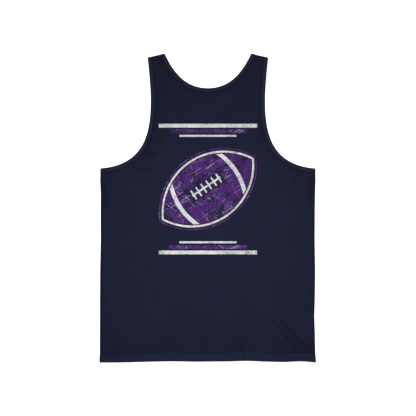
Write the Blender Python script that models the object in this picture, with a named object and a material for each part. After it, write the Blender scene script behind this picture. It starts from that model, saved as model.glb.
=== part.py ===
"""Sleeveless jersey tank top, laid flat with its back side up.

X is to the right, +Y towards the shoulders, +Z up; the garment lies on the
plane z = 0.  Sizes are in millimetres up to the last step.

The garment is five cut pieces.  Two panels lie on each other and meet along
the side folds; the front panel goes over the shoulder fold and meets the back
panel a little way down the back.  Three closed bands of folded cloth go round
the neck and the armholes, from the back layer over the folds into the front
layer.  Neighbouring pieces stand GAP apart.

Every point of the cloth is worked out from a point in plan and a turn about a
fold:   plan + out * (R_FOLD + h) * sin(turn),
        z    = z_fold + (R_FOLD + h) * cos(turn)
with turn = 0 in the back layer, pi in the front layer, and h the distance
from the middle of the cloth towards its outer face.
"""
import math

import bpy
import numpy as np

for old in list(bpy.data.objects):
    bpy.data.objects.remove(old, do_unlink=True)

# ---------------------------------------------------------------- sizes, mm
CLOTH = 1.2           # wall of a panel
HEM_WALL = 2.0        # turned hem, and the bands: cloth folded double
HEM_DEPTH = 18.0
BAND = 9.0            # width of the neck and armhole bands
GAP = 0.3             # between neighbouring pieces
R_FOLD = 1.15         # middle of the cloth at a fold: leaves GAP between layers
REACH = R_FOLD + HEM_WALL / 2      # from a fold's axis to the outline
WRAP = 10.0           # front panel past the shoulder fold, down the back

NECK_POINT = (100.5, 718.0)        # where neck edge and shoulder fold meet
TIP = (140.2, 708.5)               # where shoulder fold and armhole meet
UNDERARM = (249.9, 450.9)
BACK_NECK_LOW = 637.2              # height of the back neck edge at the middle
FRONT_NECK_LOW = 578.0
BACK_WAIST = (132.75, 612.8)       # narrowest point between the armholes
FRONT_WAIST = (125.5, 602.0)

# outline of the sides: height above the hem, half width right, half width left
SIDES = np.array([
    (0.0, 251.0, 251.6), (16.0, 250.1, 251.5), (73.0, 248.8, 251.3),
    (108.0, 247.6, 251.2), (144.0, 248.8, 251.1), (215.0, 249.6, 250.7),
    (285.0, 248.5, 249.4), (355.0, 248.8, 249.6), (390.0, 249.4, 249.3),
    (424.0, 250.3, 250.6), (452.0, 249.9, 249.9)])
# hem line: distance from the middle (right is +), rise of the edge
HEM_RISE = np.array([
    (-252.0, 0.0), (-214.0, 0.0), (-167.0, 1.0), (-121.0, 2.3), (-84.0, 3.0),
    (-56.0, 2.5), (-28.0, 2.0), (28.0, 2.6), (56.0, 2.8), (70.0, 3.6),
    (91.0, 4.1), (107.0, 3.4), (126.0, 2.5), (160.0, 1.5), (182.0, 1.5),
    (210.0, 3.0), (228.0, 2.5), (252.0, 0.2)])
# large folds of the back panel: from, to, height, half width
FOLDS = np.array([
    (152.0, 112.0, 226.0, 34.0, 2.6, 12.0),      # ridge at the lower right
    (150.0, 84.0, 200.0, 40.0, -1.2, 11.0),      # trough inside it
    (172.0, 128.0, 236.0, 62.0, -1.1, 11.0),     # trough outside it
    (-120.0, 240.0, -204.0, 104.0, 1.5, 15.0),
    (-230.0, 424.0, -226.0, 300.0, 1.2, 13.0),
    (232.0, 424.0, 214.0, 330.0, 1.2, 13.0),
    (79.0, 60.0, 82.0, 10.0, 1.0, 10.0),
    (-60.0, 300.0, 70.0, 380.0, 0.8, 40.0),
    (-30.0, 160.0, 40.0, 90.0, 0.9, 30.0)])
SWELL = 1.5           # air under the middle of the back panel

# rows of the panels: heights above the hem up to the underarm
HEM_ROWS = [0.0, 0.15, 0.5, 1.1, 9.0, 17.6, 18.4]
BACK_ROWS = [23, 29, 39, 52, 66, 80, 95, 112, 135, 162, 193, 226, 262, 300, 338, 376, 411]
FRONT_ROWS = [60, 130, 200, 270, 340, 400]
ROWS_CHEST = 8        # rows from the underarm to the neck's lowest point
ROWS_STRAP = 13       # rows from there to the shoulder
BACK_COLUMNS = np.array([0, .10, .20, .30, .40, .49, .58, .66, .74, .82, .89, .95, 1.0])
FRONT_COLUMNS = np.array([0, .14, .29, .44, .58, .72, .85, .95, 1.0])
SIDE_TURNS = np.radians([27.5, 55.0, 82.5])      # the side of a panel rolls round the fold
FOLD_TURNS = np.linspace(0, math.pi, 7)

MIDDLE = (-0.3275, 358.8765)    # plan point over the origin: middle of the outline's box


def bezier(*points):
    """Cubic curve through the first and last of four points, 400 samples."""
    a, b, c, d = (np.array(p, float) for p in points)
    t = np.linspace(0, 1, 400)[:, None]
    return (1 - t) ** 3 * a + 3 * (1 - t) ** 2 * t * b + 3 * (1 - t) * t ** 2 * c + t ** 3 * d


def smooth(lo, hi, x):
    """0 below lo, 1 above hi, an even S between."""
    t = np.clip((x - lo) / (hi - lo), 0, 1)
    return t * t * (3 - 2 * t)


def unit(v):
    return np.asarray(v, float) / np.linalg.norm(v)


def heading(v, turn):
    """Unit vector at an angle from straight up, clockwise."""
    return v * np.array([math.sin(turn), math.cos(turn)])


# ---------------------------------------------------------------- fold axes
class Axis:
    """Line a fold turns about: a point, a direction, and the way into the cloth."""

    def __init__(self, on_outline, along, into):
        self.along, self.into = unit(along), unit(into)
        self.point = np.asarray(on_outline, float) + REACH * self.into

    def depth(self, xy):
        """Distance of plan points from the axis, into the cloth."""
        return (np.asarray(xy) - self.point) @ self.into

    def slip(self, direction):
        """Travel along the axis for each unit of cloth that goes over it."""
        return (direction @ self.along) / abs(direction @ self.into)


slope = unit(np.subtract(TIP, NECK_POINT))
SHOULDER = Axis(NECK_POINT, slope, (slope[1], -slope[0]))
SIDE = Axis(UNDERARM, (0, 1), (-1, 0))


def clip(line, axis, end):
    """Cuts a curve where it meets a fold axis, at its first or last end."""
    d = axis.depth(line)
    if end == "first":
        return clip(line[::-1], axis, "last")[::-1]
    k = np.nonzero(d > 0)[0][-1]
    f = d[k] / (d[k] - d[k + 1])
    return np.vstack([line[:k + 1], line[k] + f * (line[k + 1] - line[k])])


class Edge:
    """Free edge of a band in one layer, in plan.

    Holds points along the edge and the vector across the band at each: square
    to the edge, and turned parallel to the fold axis near a fold, so the band
    goes over the fold straight.
    """

    def __init__(self, line, folds):
        step = np.linalg.norm(np.diff(line, axis=0), axis=1)
        self.s = np.concatenate([[0], np.cumsum(step)])
        self.line = line
        t = np.gradient(line, self.s, axis=0)
        t /= np.linalg.norm(t, axis=1)[:, None]
        if abs(line[0, 0]) < 1e-9:
            t[0] = (1, 0)
        square = np.c_[t[:, 1], -t[:, 0]]
        across = square.copy()
        for axis, full, none in folds:
            along = axis.along / (square @ axis.along)[:, None]
            near = 1 - smooth(full, none, axis.depth(line))
            across += near[:, None] * (along - square)
        self.across, self.length = across, self.s[-1]

    def at(self, s, w=0.0):
        """Plan points at distances s along the edge, w across the band."""
        pick = lambda a: np.c_[np.interp(s, self.s, a[:, 0]), np.interp(s, self.s, a[:, 1])]
        return pick(self.line) + w * pick(self.across)

    def where(self, axis, depth):
        """Distance along the edge at which it lies so deep from an axis."""
        d = axis.depth(self.line)
        order = np.argsort(d)
        return float(np.interp(depth, d[order], self.s[order]))


NECK_FOLDS = [(SHOULDER, 11.0, 32.0)]
ARM_FOLDS = [(SHOULDER, 11.0, 32.0), (SIDE, 2.0, 24.0)]

neck_point, tip, underarm = (np.array(p) for p in (NECK_POINT, TIP, UNDERARM))

# back layer: neck from the middle to the shoulder, armhole from shoulder to side
neck_turn, tip_turn, under_turn = 0.432, 0.142, 0.076
back_neck = clip(bezier((0, BACK_NECK_LOW), (50.3, BACK_NECK_LOW),
                        neck_point - heading(51.0, neck_turn), neck_point), SHOULDER, "last")
waist = np.array(BACK_WAIST)
back_arm = np.vstack([
    bezier(tip, tip - heading(20.6, tip_turn), waist + (0, 20.6), waist),
    bezier(waist, waist - (0, 69.2),
           underarm + 110.0 * np.array([-math.cos(under_turn), math.sin(under_turn)]), underarm)[1:]])

back_arm = clip(clip(back_arm, SHOULDER, "first"), SIDE, "last")

# front layer: cut deeper, hidden under the back; it leaves each fold the way
# the back edge came in, mirrored
FOLD_LENGTH = math.pi * R_FOLD


def over(line, axis, end):
    """Where an edge comes out of a fold in the front layer, and its heading there."""
    tip_, before = (line[-1], line[-2]) if end == "last" else (line[0], line[1])
    come = unit(tip_ - before)
    out = tip_ + axis.along * axis.slip(come) * FOLD_LENGTH
    return out, (come @ axis.along) * axis.along + abs(come @ axis.into) * axis.into


start, way = over(back_neck, SHOULDER, "last")
front_neck = bezier((0, FRONT_NECK_LOW), (64.0, FRONT_NECK_LOW), start + 58.0 * way, start)
top, way_top = over(back_arm, SHOULDER, "first")
side, way_side = over(back_arm, SIDE, "last")
waist = np.array(FRONT_WAIST)
front_arm = np.vstack([
    bezier(top, top + 16.0 * way_top, waist + (0, 50.0), waist),
    bezier(waist, waist - (0, 96.0), side + 76.0 * way_side, side)[1:]])

NECK_BACK, NECK_FRONT = Edge(back_neck, NECK_FOLDS), Edge(front_neck, NECK_FOLDS)
ARM_BACK, ARM_FRONT = Edge(back_arm, ARM_FOLDS), Edge(front_arm, ARM_FOLDS)


# ---------------------------------------------------------------- heights
def distance(xy, line):
    """Distance of plan points from a polyline."""
    a, d = line[:-1], np.diff(line, axis=0)
    w = np.clip(((xy[:, None] - a) * d).sum(2) / (d * d).sum(1), 0, 1)
    return np.linalg.norm(xy[:, None] - (a + w[..., None] * d), axis=2).min(1)


def folds(xy):
    """Sum of ridges and troughs: height * exp(-(across / half width)^2), faded at both ends."""
    z = np.zeros(len(xy))
    for x0, y0, x1, y1, height, width in FOLDS:
        a, d = np.array([x0, y0]), np.array([x1 - x0, y1 - y0])
        long = np.linalg.norm(d)
        s = (xy - a) @ d / long
        across = (xy - a) @ np.array([-d[1], d[0]]) / long
        ends = smooth(-0.2 * long, 0.3 * long, s) * (1 - smooth(0.7 * long, 1.2 * long, s))
        z += height * np.exp(-(across / width) ** 2) * ends
    return z


def back_top(xy):
    """Height of the back panel's outer face over plan points given for the right or left half."""
    half = np.abs(xy) * (1, 0) + xy * (0, 1)
    lifts = [1 - smooth(5, 26, side_axis(xy) - half[:, 0]),
             1 - smooth(25, 45, distance(half, back_arm[::8])),
             1 - smooth(12, 26, distance(half, back_neck[::8])),
             1 - smooth(28, 52, distance(half, front_neck[::8])),
             1 - smooth(20, 36, xy[:, 1])]
    low = 1.0
    for lift in lifts:
        low = low * (1 - lift)
    swell = SWELL * np.clip(1 - (half[:, 0] / 236) ** 2, 0, 1) * smooth(28, 120, xy[:, 1]) \
        * (1 - smooth(400, 600, xy[:, 1]))
    laid = 2 * CLOTH + GAP
    edge = HEM_WALL - CLOTH
    free = np.maximum(swell + folds(xy), 0.0)
    return laid + edge * (1 - low) + low * free + edge * (1 - smooth(18, 27, xy[:, 1]))


def half_width(xy):
    """Half width of the outline at the heights of plan points, on their own side."""
    right = np.interp(xy[:, 1], SIDES[:, 0], SIDES[:, 1])
    left = np.interp(xy[:, 1], SIDES[:, 0], SIDES[:, 2])
    return np.where(xy[:, 0] >= 0, right, left)


def side_axis(xy):
    return half_width(xy) - REACH


def wall(y):
    """Thickness of a panel: the turned hem is double, its folded edge is round."""
    t = np.where(y < HEM_DEPTH, HEM_WALL, CLOTH)
    return t * np.sqrt(np.clip(1 - (1 - np.minimum(y / 1.1, 1)) ** 2, 0.06, 1))


def lift(plan, out, turn, z_fold, h):
    """Points of the cloth: see the head of this file."""
    radius = R_FOLD + h
    xy = plan + out * (radius * np.sin(turn))[:, None]
    return np.c_[xy, z_fold + radius * np.cos(turn)]


# ---------------------------------------------------------------- meshes
def add(name, points, faces, colour, rough):
    """One closed mesh, millimetres to metres, with its own material."""
    pts = (np.asarray(points) - (MIDDLE[0], MIDDLE[1], 0.0)) * 0.001
    mesh = bpy.data.meshes.new(name)
    mesh.from_pydata(pts.tolist(), [], [list(f) for f in faces])
    mesh.validate()
    mesh.update()
    mat = bpy.data.materials.new(name)
    mat.use_nodes = True
    shader = mat.node_tree.nodes["Principled BSDF"]
    shader.inputs["Base Color"].default_value = (*colour, 1.0)
    shader.inputs["Roughness"].default_value = rough
    mesh.materials.append(mat)
    for poly in mesh.polygons:
        poly.use_smooth = False
    obj = bpy.data.objects.new(name, mesh)
    bpy.context.scene.collection.objects.link(obj)
    return obj


def mirror(points):
    return points * (-1, 1, 1)


# section of a band: distance across it from the free edge, height in its wall
SECTION = np.array([
    (0.0, 0.0), (0.3, 0.7), (1.1, 1.0), (BAND - 0.7, 1.0), (BAND, 0.5),
    (BAND, -0.5), (BAND - 0.7, -1.0), (1.1, -1.0), (0.3, -0.7)])
BAND_FOLD_Z = HEM_WALL / 2 + R_FOLD


def stations(edge, layer, s):
    """Section rows of a band lying in one layer, at distances s along its edge."""
    n = len(s)
    turn = np.full(n, 0.0 if layer == "back" else math.pi)
    return edge.at(s), edge.at(s, 1.0) - edge.at(s), np.zeros((n, 2)), turn


def turns(edge, end, axis, angles):
    """Section rows of a band going over a fold, from the back layer to the front."""
    s = edge.length if end == "last" else 0.0
    here = edge.at(np.array([s]))[0]
    near = edge.at(np.array([abs(s - 0.5)]))[0]
    slip = axis.slip(unit(here - near))
    across = (edge.at(np.array([s]), 1.0) - edge.at(np.array([s])))[0]
    n = len(angles)
    plan = here + np.outer(angles * R_FOLD * slip, axis.along)
    return plan, np.tile(across, (n, 1)), np.tile(-axis.into, (n, 1)), np.asarray(angles)


def ring(rows):
    """Closed band: its section carried along the rows, the last joined to the first."""
    plan, across, out, turn = (np.concatenate(a) for a in zip(*rows))
    n, m = len(plan), len(SECTION)
    w, h = np.tile(SECTION[:, 0], n), np.tile(SECTION[:, 1], n)
    rep = lambda a: np.repeat(a, m, axis=0)
    pts = lift(rep(plan) + w[:, None] * rep(across), rep(out), rep(turn), BAND_FOLD_Z, h)
    faces = []
    for i in range(n):
        for j in range(m):
            a, b = i * m + j, i * m + (j + 1) % m
            c, d = ((i + 1) % n) * m + (j + 1) % m, ((i + 1) % n) * m + j
            faces.append((a, b, c, d))
    return pts, faces


def turn_round(faces):
    return [f[::-1] for f in faces]


# distances along the edges shared by the bands and the panels' rows
def spread(a, b, n):
    return np.linspace(a, b, n + 1)


arm_low = ARM_BACK.length * 0.50          # armhole station level with the neck's lowest point
arm_top = ARM_BACK.where(SHOULDER, WRAP + GAP)
neck_top = NECK_BACK.where(SHOULDER, WRAP + GAP)
# from the side fold up to the shoulder, twice as fine as the rows
BACK_ARM_S = np.concatenate([spread(ARM_BACK.length, arm_low, 2 * ROWS_CHEST),
                             spread(arm_low, arm_top, 2 * ROWS_STRAP)[1:]])
BACK_NECK_S = spread(0, neck_top, 2 * ROWS_STRAP)
front_low = ARM_FRONT.length * 0.52
FRONT_ARM_S = np.concatenate([spread(ARM_FRONT.length, front_low, 2 * ROWS_CHEST),
                              spread(front_low, 0, 2 * ROWS_STRAP)[1:]])
FRONT_NECK_S = spread(0, NECK_FRONT.length, 2 * ROWS_STRAP)
WRAP_ROWS = [3.3, 6.7, WRAP]              # front panel past the fold, from it down the back


def neck_band():
    over_fold = turns(NECK_BACK, "last", SHOULDER, FOLD_TURNS)
    last = [NECK_BACK.where(SHOULDER, d) for d in (6.7, 3.3)]
    right = [stations(NECK_BACK, "back", np.concatenate([BACK_NECK_S, last])), over_fold,
             stations(NECK_FRONT, "front", FRONT_NECK_S[::-1][1:])]
    flip = [tuple(np.asarray(a)[::-1] * ((-1, 1) if np.ndim(a) == 2 else 1) for a in part)
            for part in right[::-1]]
    # the middle rows of both layers belong to the right half only
    flip[0] = tuple(a[1:] for a in flip[0])
    flip[-1] = tuple(a[:-1] for a in flip[-1])
    return ring(right + flip)


def arm_band():
    last = [ARM_BACK.where(SHOULDER, d) for d in (6.7, 3.3)]
    up = stations(ARM_BACK, "back", np.concatenate([BACK_ARM_S[1:], last]))
    top_fold = turns(ARM_BACK, "first", SHOULDER, FOLD_TURNS)
    down = stations(ARM_FRONT, "front", FRONT_ARM_S[::-1][1:-1])
    side_fold = tuple(a[::-1] for a in turns(ARM_BACK, "last", SIDE, FOLD_TURNS))
    points, faces = ring([up, top_fold, down, side_fold])
    return points, turn_round(faces)


def closed(outer, inner, faces):
    """Two like sheets and the wall round their borders as one closed mesh."""
    n = len(outer)
    seen = {(f[i], f[(i + 1) % len(f)]) for f in faces for i in range(len(f))}
    solid = list(faces) + [tuple(i + n for i in f[::-1]) for f in faces]
    for a, b in seen:
        if (b, a) not in seen:
            solid.append((a, a + n, b + n, b))
    return np.vstack([outer, inner]), solid


def panel(rows, columns, middle_rows, roll_rows, roll, seen_from_above):
    """Points and faces of one panel as a sheet, right half then left.

    rows: for each, inner and outer end in plan, turn, out and z_fold (one
    value for a flat row); the inner ends of the first middle_rows lie on the
    middle line and are shared.  Between rows that carry an extra point on an
    edge (keys "in_between", "out_between") a cell has that point as a fifth
    corner.  The first roll_rows go on round the side fold by the turns in roll.
    """
    pts, faces = [], []

    def put(plan, turn, out=(0.0, 0.0)):
        pts.append((plan[0], plan[1], turn, out[0], out[1]))
        return len(pts) - 1

    shared = {}
    for sign in (1, -1):
        flip = np.array([sign, 1.0])
        grid = []
        for i, row in enumerate(rows):
            inner, outer = np.array(row["inner"]), np.array(row["outer"])
            if outer[0] > 200 and i < roll_rows:
                outer = np.array([side_axis(np.array([[sign, outer[1]]]))[0], outer[1]])
            line = []
            for j, u in enumerate(columns):
                key = i if (j == 0 and i < middle_rows) else None
                if key is not None and key in shared:
                    line.append(shared[key])
                    continue
                k = put(flip * (inner + u * (outer - inner)), row["turn"], flip * row["out"])
                if key is not None:
                    shared[key] = k
                line.append(k)
            if i < roll_rows:
                for angle in roll:
                    turn = angle if row["turn"] == 0 else math.pi - angle
                    line.append(put(flip * outer, turn, flip * (1.0, 0.0)))
            grid.append(line)
        for i in range(len(rows) - 1):
            wide = min(len(grid[i]), len(grid[i + 1]))
            for j in range(wide - 1):
                cell = [grid[i][j], grid[i][j + 1], grid[i + 1][j + 1], grid[i + 1][j]]
                if j == len(columns) - 2 and "out_between" in rows[i]:
                    cell.insert(2, put(flip * rows[i]["out_between"], rows[i]["turn"]))
                if j == 0 and "in_between" in rows[i]:
                    cell.append(put(flip * rows[i]["in_between"], rows[i]["turn"]))
                if (sign == 1) != seen_from_above:
                    cell = cell[::-1]
                faces.append(tuple(cell))
    pts = np.array(pts)
    return pts[:, :2], pts[:, 2], pts[:, 3:], faces


def across_rows(heights, turn):
    return [dict(inner=(0, y), outer=(249.0, y), turn=turn, out=np.zeros(2)) for y in heights]


def edge_rows(neck, neck_s, arm, arm_s, turn):
    """Rows from the underarm to the shoulder between the panel's two edges."""
    w = BAND + GAP
    arm_pts, neck_pts = arm.at(arm_s, w), neck.at(neck_s, w)
    corner, low = arm_pts[0][1], neck_pts[0][1]
    found = []
    for i in range(ROWS_CHEST + ROWS_STRAP + 1):
        row = dict(outer=arm_pts[2 * i], turn=turn, out=np.zeros(2))
        if i < ROWS_CHEST:
            row["inner"] = np.array([0, corner + (low - corner) * i / ROWS_CHEST])
        else:
            row["inner"] = neck_pts[2 * (i - ROWS_CHEST)]
            if i < ROWS_CHEST + ROWS_STRAP:
                row["in_between"] = neck_pts[2 * (i - ROWS_CHEST) + 1]
        if i < ROWS_CHEST + ROWS_STRAP:
            row["out_between"] = arm_pts[2 * i + 1]
        found.append(row)
    return found


def hem_shift(xy):
    """The hem's own line is not quite straight: points near it rise with it."""
    rise = np.interp(xy[:, 0], HEM_RISE[:, 0], HEM_RISE[:, 1])
    return np.c_[xy[:, 0], xy[:, 1] + rise * (1 - smooth(20, 120, xy[:, 1]))]


def back_panel():
    top_rows = edge_rows(NECK_BACK, BACK_NECK_S, ARM_BACK, BACK_ARM_S, 0.0)
    rows = across_rows(HEM_ROWS + BACK_ROWS, 0.0) + top_rows
    base = len(HEM_ROWS) + len(BACK_ROWS)
    plan, turn, out, faces = panel(rows, BACK_COLUMNS, base + ROWS_CHEST + 1, base + 1, SIDE_TURNS, True)
    t = wall(plan[:, 1])
    z_mid = back_top(plan) - np.where(plan[:, 1] < HEM_DEPTH, HEM_WALL, CLOTH) / 2
    z_fold = z_mid - R_FOLD
    plan = hem_shift(plan)
    sheets = [lift(plan, out, turn, z_fold, h) for h in (t / 2, -t / 2)]
    return closed(*sheets, faces)


def front_panel():
    top_rows = edge_rows(NECK_FRONT, FRONT_NECK_S, ARM_FRONT, FRONT_ARM_S, math.pi)
    rows = across_rows(HEM_ROWS + FRONT_ROWS, math.pi) + top_rows
    base = len(HEM_ROWS) + len(FRONT_ROWS)
    middle_rows = base + ROWS_CHEST + 1
    # over the shoulder fold, then down the back
    neck = turns(NECK_BACK, "last", SHOULDER, FOLD_TURNS[::-1][1:])
    arm = turns(ARM_BACK, "first", SHOULDER, FOLD_TURNS[::-1][1:])
    w = BAND + GAP
    for (c0, a0, _, turn), (c1, a1) in zip(zip(*neck), zip(*arm[:2])):
        rows.append(dict(inner=c0 + w * a0, outer=c1 + w * a1, turn=turn, out=-SHOULDER.into))
    for depth in WRAP_ROWS:
        rows.append(dict(inner=NECK_BACK.at([NECK_BACK.where(SHOULDER, depth)], w)[0],
                         outer=ARM_BACK.at([ARM_BACK.where(SHOULDER, depth)], w)[0],
                         turn=0.0, out=np.zeros(2)))
    plan, turn, out, faces = panel(rows, FRONT_COLUMNS, middle_rows, base + 1, SIDE_TURNS, False)
    t = wall(plan[:, 1])
    full = np.where(plan[:, 1] < HEM_DEPTH, HEM_WALL, CLOTH)
    z_fold = full / 2 + R_FOLD
    # past the shoulder fold the cloth lies as high as the back panel beside it
    plan = hem_shift(plan)
    sheets = [lift(plan, out, turn, z_fold, h) for h in (t / 2, -t / 2)]
    return closed(*sheets, faces)


NAVY, BAND_NAVY = (0.0137, 0.0159, 0.0355), (0.0152, 0.0176, 0.0395)
PIECES = {"front_panel": front_panel(), "back_panel": back_panel(), "neck_binding": neck_band()}
arm_points, arm_faces = arm_band()
PIECES["armhole_binding_right"] = (arm_points, arm_faces)
PIECES["armhole_binding_left"] = (mirror(arm_points), turn_round(arm_faces))
for piece, (piece_points, piece_faces) in PIECES.items():
    add(piece, piece_points, piece_faces, BAND_NAVY if "binding" in piece else NAVY, 0.85)
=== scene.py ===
"""Looks of a sleeveless jersey tank top, laid flat with its back side up.

Sizes are in millimetres, measured from the hem's lowest point up to the
shoulders (Y) and from the middle line to the right (X), until mesh() turns
them into the frame's metres.  Cloth points come from a point in plan and a
turn about a fold:  plan + out * (radius + h) * sin(turn),
z_fold + (radius + h) * cos(turn);  turn is 0 in the back layer, pi in the
front layer, and h is the distance from the middle of the cloth outwards.
"""
import math
from math import pi

import bpy
import numpy as np
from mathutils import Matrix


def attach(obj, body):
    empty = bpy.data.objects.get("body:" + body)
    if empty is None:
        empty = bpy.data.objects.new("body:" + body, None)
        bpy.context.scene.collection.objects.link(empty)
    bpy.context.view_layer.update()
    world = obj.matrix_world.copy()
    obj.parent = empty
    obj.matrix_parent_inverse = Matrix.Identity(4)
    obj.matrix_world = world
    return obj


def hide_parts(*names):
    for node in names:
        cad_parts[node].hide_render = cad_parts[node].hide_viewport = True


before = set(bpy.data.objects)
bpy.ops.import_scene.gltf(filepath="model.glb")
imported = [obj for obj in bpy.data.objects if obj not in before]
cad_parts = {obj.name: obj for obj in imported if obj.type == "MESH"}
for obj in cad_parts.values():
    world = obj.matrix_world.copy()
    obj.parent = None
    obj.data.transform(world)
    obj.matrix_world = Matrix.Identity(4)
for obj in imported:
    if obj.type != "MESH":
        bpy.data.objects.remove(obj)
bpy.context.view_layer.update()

# -------------------- sizes, mm
CLOTH = 0.8             # jersey of a panel
HEM_WALL = 2.0          # hem, with its turned layer
HEM_DEPTH = 18.0
BAND = 9.0              # width of the neck and armhole bands
BAND_WALL = 2.0         # a band from face to face
LEAF = 0.44             # one leaf of a band's folded strip
R_BAND = 1.15           # middle of a band at a fold
R_PANEL = 1.35          # middle of a panel's cloth at a fold
REACH = R_BAND + BAND_WALL / 2   # from a fold's axis out to the outline
FOLD_Z = REACH          # height of that axis over the floor
TUCK = 5.5              # how far a panel's edge goes into its band
EDGE_AT = BAND - TUCK   # a panel's edge from its band's free edge
WRAP = 10.0             # front panel past the shoulder fold, down the back
LAID = 2.7              # outer face of the back where both panels lie flat
DOUBLE = 0.8            # how much doubled cloth lifts it at the edges
SWELL = 1.8             # air between the panels
GROOVE = 0.3            # how deep a stitch row is drawn into the cloth
PROUD = 0.02            # path of a stitch row above the bottom of its groove
PITCH, STITCH = 3.1, 2.6         # from stitch to stitch, and the length of one
THREAD = 0.42           # thickness of the sewing thread, with its two plies
WALE, COURSE = 1.15, 0.9         # knit: width of a column, length of a stitch
HEM_STITCHES = (11.2, 16.8)      # height of the two stitch rows
BAND_STITCHES = (2.9, 7.0)       # from a band's free edge
SEAM_STITCHES = (WRAP - 2.2, WRAP + 2.4)    # below the shoulder fold

NECK_POINT = (100.5, 718.0)
TIP = (140.2, 708.5)
UNDERARM = (249.9, 450.9)
BACK_NECK_LOW = 637.2
FRONT_NECK_LOW = 578.0
BACK_WAIST = (132.75, 612.8)
FRONT_WAIST = (125.5, 602.0)
MIDDLE = (-0.3275, 358.8765)     # plan point over the frame's origin

# outline of the sides: height above the hem, half width right, half width left
SIDES = np.array([
    (0, 251, 251.6), (16, 250.1, 251.5), (73, 248.8, 251.3),
    (108, 247.6, 251.2), (144, 248.8, 251.1), (215, 249.6, 250.7),
    (285, 248.5, 249.4), (355, 248.8, 249.6), (390, 249.4, 249.3),
    (424, 250.3, 250.6), (452, 249.9, 249.9)])
# hem line: distance from the middle, rise of the edge
HEM_RISE = np.array([
    (-252, 0), (-214, 0), (-167, 1), (-121, 2.3), (-84, 3), (-56, 2.5), (-28, 2), (28, 2.6),
    (56, 2.8), (70, 3.6), (91, 4.1), (107, 3.4), (126, 2.5), (160, 1.5), (182, 1.5), (210, 3),
    (228, 2.5), (252, 0.2)])
# folds of the back: from, to, height (less than 0 for a crease), half width, bow sideways
BACK_FOLDS = np.array([
    # towards the lower right corner: two creases, the ridge between and a lip each side
    (157, 116, 286, -27, -3.5, 3, -5.2), (142, 110, 236, 4, -1.45, 3.2, -5),
    (146, 120, 286, -25, 1.5, 3.4, -8), (166, 132, 276, 12, 0.8, 6, -3),
    (138, 98, 240, 2, 1, 8, -9), (150, 108, 262, 0, 1.2, 26, -6),
    # lower left: two slanting creases
    (-124, 251, -157, 172, -0.75, 3.4, 2), (-118, 247, -150, 167, 0.65, 5, 2),
    (-150, 194, -199, 104, 0.9, 5.5, 1.5), (-156, 200, -207, 108, -0.35, 5, 1.5),
    (-118, 160, -129, 130, -0.65, 3.8, 0), (-110, 160, -120, 126, 0.8, 6, 0),
    (-127, 164, -141, 124, 0.5, 6, 0),
    # under the arms
    (228, 438, 222, 396, 0.8, 8, -2), (216, 442, 198, 400, -0.5, 5, -3),
    (244, 436, 235, 362, -0.6, 5, 0), (-231, 438, -226, 402, 1.1, 7, 2),
    (-241, 428, -238, 366, -0.8, 5, 0),
    # drags from the armholes, most of them from the left one
    (-139, 529, -104, 556, -1.1, 4, 2), (-138, 540, -108, 568, 0.9, 5, 2),
    (-136, 519, -100, 535, 0.8, 5, 2), (-141, 514, -102, 521, -1, 4, 1),
    (-150, 488, -134, 514, -0.9, 4, 1), (-158, 481, -118, 485, -1.1, 5, 0.5),
    (-186, 452, -120, 447, -0.8, 4.5, 1), (-192, 441, -124, 438, 0.6, 6, 0),
    (-202, 427, -126, 426, -0.7, 4.5, -1), (141, 546, 116, 508, -0.5, 5, -1.5),
    (148, 510, 122, 470, 0.6, 7, -1.5),
    # broad and faint
    (-60, 300, 70, 380, 0.8, 34, 8), (-40, 170, 52, 92, 0.9, 22, 6),
    (92, 690, 106, 630, 0.5, 6, 1), (-92, 676, -108, 620, 0.6, 7, -1)])
# short creases that run on across the hem
HEM_FOLDS = np.array([
    (81, 58, 81.5, -10, -1.5, 3, 0.8), (73.5, 58, 74.5, -12, 1, 4.5, 0.4),
    (89, 56, 88.5, -12, 1.1, 5, 0.6), (61, 64, 60, 12, -0.8, 3.2, 0.6),
    (54, 60, 53, 8, 0.6, 5, 0.6), (-6, 68, -4, 10, -0.7, 3.6, 0.4),
    (-14, 62, -13, 8, 0.6, 5.5, 0.4), (176, 36, 182, -14, -0.7, 4, 0.4),
    (-204, 54, -214, 2, -0.8, 4, 0.6), (-190, 52, -198, 0, 0.7, 8, 0.6),
    (-84, 50, -90, 0, 0.6, 8, 0.5)])
# shallow folds of the front, which lies on the surface
FRONT_FOLDS = np.array([
    (-160, 120, -222, 40, 0.9, 9, 3), (-130, 92, -176, 36, 0.6, 8, -2),
    (140, 250, 196, 120, 0.8, 11, 4), (96, 170, 130, 110, 0.5, 8, 2),
    (232, 420, 224, 310, 0.7, 10, 2), (-226, 410, -210, 330, 0.7, 9, 2),
    (20, 400, -60, 330, 0.7, 20, 6), (-20, 70, -26, 20, 0.6, 6, 1),
    (60, 540, 96, 470, 0.6, 12, 3)])


# -------------------- plan lines
def bezier(*points):
    """Cubic curve: (1-t)^3 a + 3 (1-t)^2 t b + 3 (1-t) t^2 c + t^3 d, 400 samples of t."""
    a, b, c, d = (np.array(p, float) for p in points)
    t = np.linspace(0, 1, 400)[:, None]
    return (1 - t) ** 3 * a + 3 * (1 - t) ** 2 * t * b + 3 * (1 - t) * t ** 2 * c + t ** 3 * d


def smooth(lo, hi, x):
    """0 below lo, 1 above hi, and 3t^2 - 2t^3 between."""
    t = np.clip((x - lo) / (hi - lo), 0, 1)
    return t * t * (3 - 2 * t)


def unit(v):
    return np.asarray(v, float) / np.linalg.norm(v)


def units(rows):
    return rows / np.linalg.norm(rows, axis=1)[:, None]


def bell(x, width):
    """exp(-(x / width)^2)."""
    return np.exp(-(x / width) ** 2)


def run(line):
    """Distance travelled along a polyline at each of its points."""
    return np.concatenate([[0], np.cumsum(np.linalg.norm(np.diff(line, axis=0), axis=1))])


def heading(length, turn):
    """A step of that length at an angle clockwise from straight up."""
    return length * np.array([math.sin(turn), math.cos(turn)])


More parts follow.
